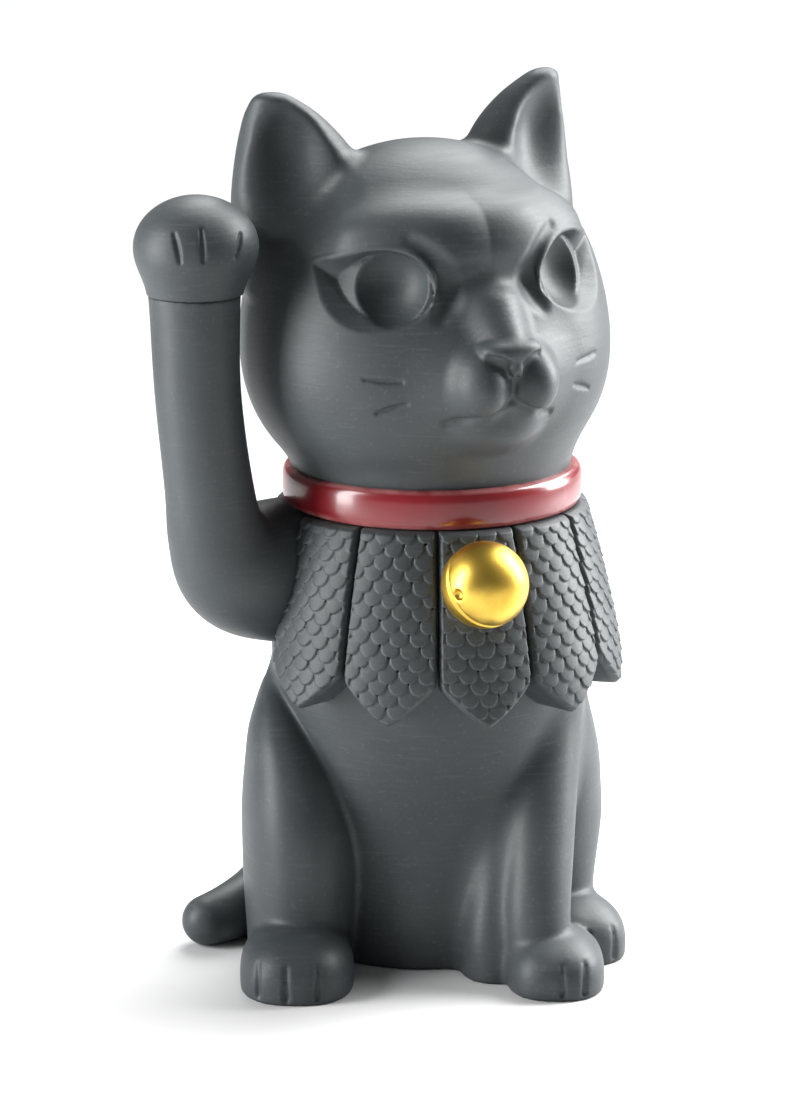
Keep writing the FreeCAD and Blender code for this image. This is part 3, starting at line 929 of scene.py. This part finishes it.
def bell_field(p):
    """The round bell with its dimple and the slot round its lower side."""
    q = p - BELL_CENTRE.astype(np.float32)
    d = np.sqrt((q * q).sum(-1)) - BELL_R
    normal = (SLOT_NORMAL / np.linalg.norm(SLOT_NORMAL)).astype(np.float32)
    ring = np.hypot(q @ normal, np.sqrt((q * q).sum(-1)) - BELL_R - 0.1) - 0.5
    d = smax(d, -ring, 0.5)
    hole = (HOLE_WAY / np.linalg.norm(HOLE_WAY) * BELL_R).astype(np.float32)
    w = q - hole
    return smax(d, 1.5 - np.sqrt((w * w).sum(-1)), 0.6)


# Each plain casting: its object, its field, the corners it lies between and the pitch of its mesh
CASTINGS = {
    "body_casting": ("cat_body", body_field, (-66, -70, -1), (60, 58, 132), 0.85),
    "head_casting": ("cat_head", head_field, (-60, -70, 120), (58, 56, 250), 0.62),
    "raised_arm": ("cat_arm", arm_field, (-88, -34, 84), (-4, 24, 194), 0.8),
    "raised_paw": ("cat_paw", paw_field, (-90, -38, 186), (-50, 4, 220), 0.5),
    "tail": ("cat_tail", tail_field, (-76, -2, -1), (14, 62, 36), 0.8),
}
PANEL_PITCH = 0.38
PANEL_MARGIN = 9.0              # how far a panel may pass its CAD box
BELL_PITCH = 0.3
BELL_REACH = BELL_R + 1.5

for node, (name, field, low, high, pitch) in CASTINGS.items():
    shown(sculpted(name, field, low, high, pitch, biscuit), node)
for index in range(PANELS_ROUND):
    node = f"bib_panel_{index:02d}"
    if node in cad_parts:
        low, high = cad_box(node)
        low, high = low - PANEL_MARGIN, high + PANEL_MARGIN
        field, marks = panel_field(index), panel_marks(index)
        shown(sculpted(f"bib_{index:02d}", field, low, high, PANEL_PITCH, scaly, marks), node)
shown(collar_piece(), "neck_collar")
bell_low, bell_high = BELL_CENTRE - BELL_REACH, BELL_CENTRE + BELL_REACH
shown(sculpted("bell_ball", bell_field, bell_low, bell_high, BELL_PITCH, gold), "bell")


# ---------------------------------------------------------------- floor, light and camera
def stage_floor():
    """A plain pale floor."""
    bpy.ops.mesh.primitive_plane_add(size=12, location=(0, 0, 0))
    floor = bpy.context.object
    floor.name = "floor"
    material, _, _, shader = new_material("pale_floor", (0.6, 0.6, 0.605), 0.7)
    floor.data.materials.append(material)


def soft_light(name, place, size, power, target=(0, 0, 0.12)):
    """A rectangular softbox that faces the figure."""
    light = bpy.data.lights.new(name, "AREA")
    light.shape = "RECTANGLE"
    light.size, light.size_y = size
    light.energy = power
    obj = bpy.data.objects.new(name, light)
    obj.location = place
    obj.rotation_mode = "QUATERNION"
    obj.rotation_quaternion = (Vector(place) - Vector(target)).to_track_quat("Z", "Y")
    bpy.context.scene.collection.objects.link(obj)


def camera():
    """The camera at the photograph's viewing angle."""
    azimuth, elevation, distance = math.radians(-15), math.radians(13.5), 1.2
    right = Vector((math.cos(azimuth), math.sin(azimuth), 0))
    back = Vector((math.sin(azimuth) * math.cos(elevation), -math.cos(azimuth) * math.cos(elevation),
                   math.sin(elevation)))
    data = bpy.data.cameras.new("camera")
    data.lens = 141.4
    data.sensor_width = 36
    obj = bpy.data.objects.new("camera", data)
    obj.location = Vector((0, 0, 0.112)) - right * 0.0097 + back * distance
    obj.rotation_mode = "QUATERNION"
    obj.rotation_quaternion = back.to_track_quat("Z", "Y")
    bpy.context.scene.collection.objects.link(obj)
    bpy.context.scene.camera = obj


stage_floor()
world = bpy.data.worlds.new("studio")
world.use_nodes = True
world.node_tree.nodes["Background"].inputs["Color"].default_value = (1, 1, 1, 1)
world.node_tree.nodes["Background"].inputs["Strength"].default_value = 0.14
bpy.context.scene.world = world
bpy.context.scene.view_settings.view_transform = "Standard"
soft_light("right_box", (0.56, 0.04, 0.38), (0.30, 0.60), 13)
soft_light("left_box", (-0.64, -0.04, 0.28), (0.25, 0.60), 8)
overhead = bpy.data.lights.new("overhead", "SUN")
overhead.energy = 5.6
overhead.angle = math.radians(55)
overhead_object = bpy.data.objects.new("overhead", overhead)
overhead_object.rotation_mode = "QUATERNION"
overhead_object.rotation_quaternion = Vector((0.55, 0.6, 1)).to_track_quat("Z", "Y")
bpy.context.scene.collection.objects.link(overhead_object)
camera()
